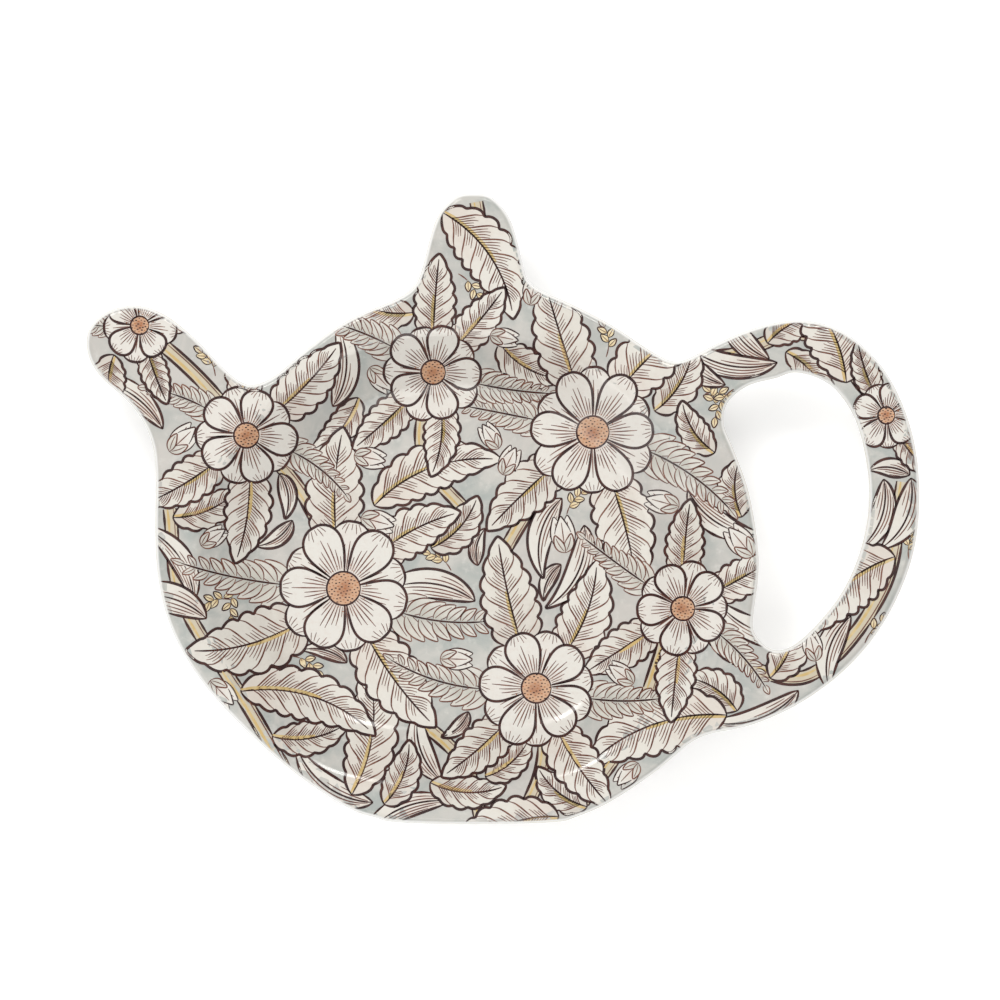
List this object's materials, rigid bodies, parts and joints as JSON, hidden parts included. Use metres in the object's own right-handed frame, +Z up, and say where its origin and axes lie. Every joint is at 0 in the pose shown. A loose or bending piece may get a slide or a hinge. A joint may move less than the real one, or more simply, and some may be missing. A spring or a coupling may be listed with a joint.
{
  "type": "tea bag rest",
  "caption": "Shallow teapot-shaped dish with a sloping-sided well for used tea bags, a flat spout and knob, and an open loop handle to pick it up by.",
  "frame": {"origin": "middle of the bounding box, on the surface that the foot ring stands on", "axes": "+X towards the loop handle, +Y towards the lid knob, +Z up out of the well"},
  "size_m": [0.125, 0.0946, 0.01],
  "materials": {
    "melamine": "gloss",
    "print": "gloss"
  },
  "bodies": {
    "root": {"dish": "melamine", "print_foil": "print"}
  },
  "joints": []
}
